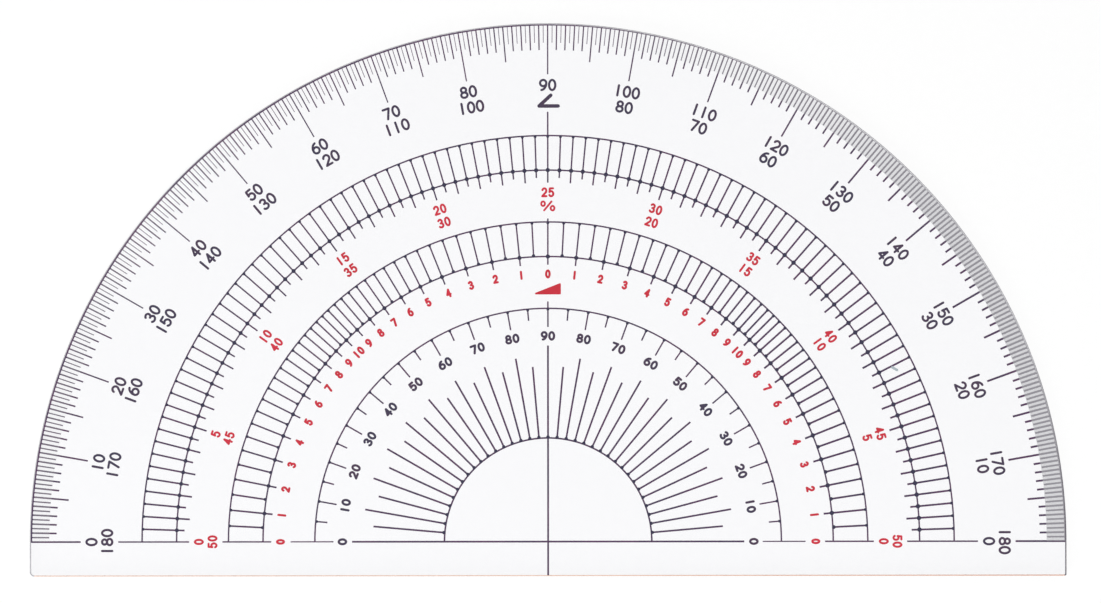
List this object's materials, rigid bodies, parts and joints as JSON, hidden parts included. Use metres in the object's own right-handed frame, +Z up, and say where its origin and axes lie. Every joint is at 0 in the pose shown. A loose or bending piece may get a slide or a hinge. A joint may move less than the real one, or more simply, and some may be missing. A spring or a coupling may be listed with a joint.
{
  "type": "semicircular protractor",
  "caption": "Flat clear half-round drafting protractor with degree scales at the rim and inside, a per cent ladder, a slope ladder and a fan of lines round the centre mark.",
  "frame": {"origin": "the centre mark, where the baseline and the centre line cross, on the plate's underside", "axes": "+X along the baseline towards the right-hand end of the scales, +Y along the centre line towards 90 degrees, +Z up out of the printed face"},
  "size_m": [0.12, 0.064, 0.0015],
  "materials": {
    "clear_plastic": "polished",
    "black_ink": "satin",
    "red_ink": "satin"
  },
  "bodies": {
    "root": {"clear_plate": "clear_plastic", "outer_degree_scale": "black_ink", "percent_scale": "black_ink", "slope_scale": "black_ink", "inner_degree_scale": "black_ink", "centre_fan": "black_ink"}
  },
  "joints": []
}
